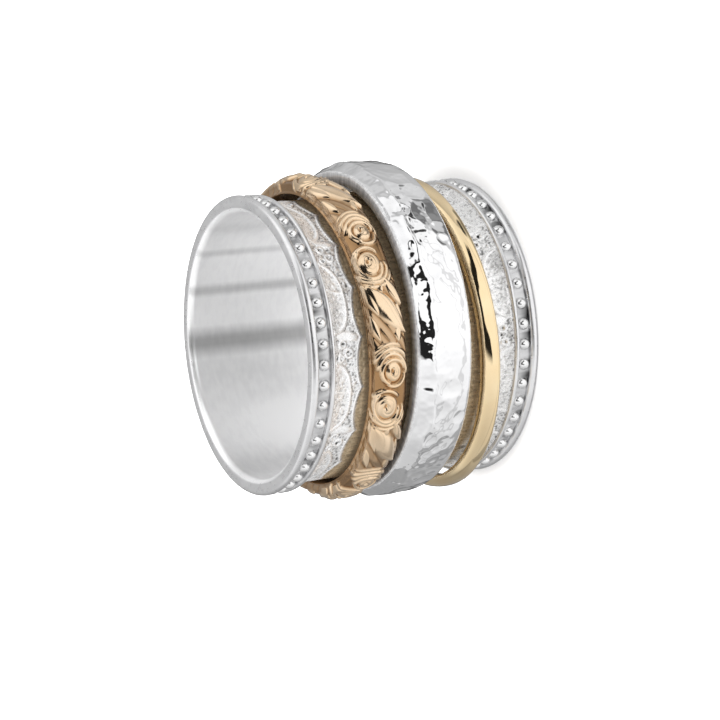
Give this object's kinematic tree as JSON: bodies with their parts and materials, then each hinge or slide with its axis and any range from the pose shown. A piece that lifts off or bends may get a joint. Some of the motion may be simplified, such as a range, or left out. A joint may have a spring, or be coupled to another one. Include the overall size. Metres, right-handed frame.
{
  "type": "spinner ring",
  "caption": "Wide silver finger ring with beaded rims and loose rings that turn on it: flowered rose gold, hammered silver and plain gold.",
  "frame": {"origin": "centre of the band's lower end, on the surface that the ring lies on", "axes": "+Z along the band's axis, from the rim it lies on to the upper rim, which is the near rim in the picture; +X towards the side that faces the viewer; +Y is the picture's up"},
  "size_m": [0.0228, 0.0229, 0.0169],
  "materials": {
    "silver": "cast sterling silver, satin inside, light tarnish in the ornament",
    "rose_gold": "polished rose gold with darker recesses",
    "polished_silver": "hammered and mirror polished silver",
    "yellow_gold": "polished yellow gold"
  },
  "bodies": {
    "band": {"band": "silver"},
    "floral_ring": {"floral_ring": "rose_gold"},
    "hammered_ring": {"hammered_ring": "polished_silver"},
    "plain_gold_ring": {"plain_gold_ring": "yellow_gold"}
  },
  "joints": [
    {"name": "floral_spin", "type": "hinge", "parent": "band", "child": "floral_ring", "pos_m": [0, 0.00015, 0.01145], "axis": [0, -0.0401, 0.9992], "continuous": true},
    {"name": "hammered_spin", "type": "hinge", "parent": "band", "child": "hammered_ring", "pos_m": [0, 0.0004, 0.0077], "axis": [0, -0.0087, 1], "continuous": true},
    {"name": "plain_gold_spin", "type": "hinge", "parent": "band", "child": "plain_gold_ring", "pos_m": [0, -0.00027, 0.00379], "axis": [0, -0.0523, 0.9986], "continuous": true}
  ]
}
